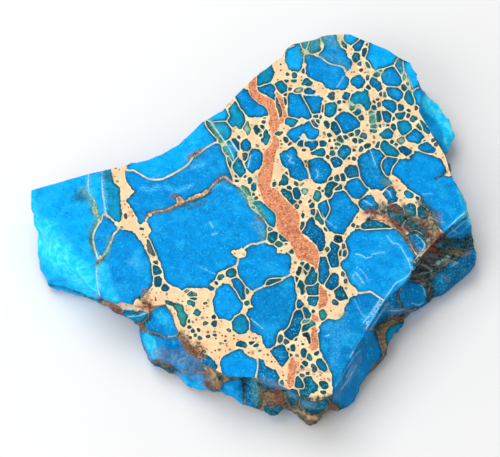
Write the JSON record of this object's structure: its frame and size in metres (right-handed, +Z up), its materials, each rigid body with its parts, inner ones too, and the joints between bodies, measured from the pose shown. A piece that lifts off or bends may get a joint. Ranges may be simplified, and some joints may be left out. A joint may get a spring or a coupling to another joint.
{
  "type": "raw turquoise slab",
  "caption": "Sawn slab of blue turquoise nodules in a tan web of matrix, with broken walls all round; lies flat on its sole.",
  "frame": {"origin": "middle of the bounding box, on the plane that the slab lies on", "axes": "+Z up through the thickness, out of the upper sawn face; +X along the longest side, from the narrow end to the broken right-hand end; +Y towards the broad rounded end"},
  "size_m": [0.062, 0.059, 0.008],
  "materials": {
    "turquoise": "sawn stone with a dull wax lustre: azure nodules in a tan matrix web"
  },
  "bodies": {
    "root": {"turquoise_slab": "turquoise"}
  },
  "joints": []
}
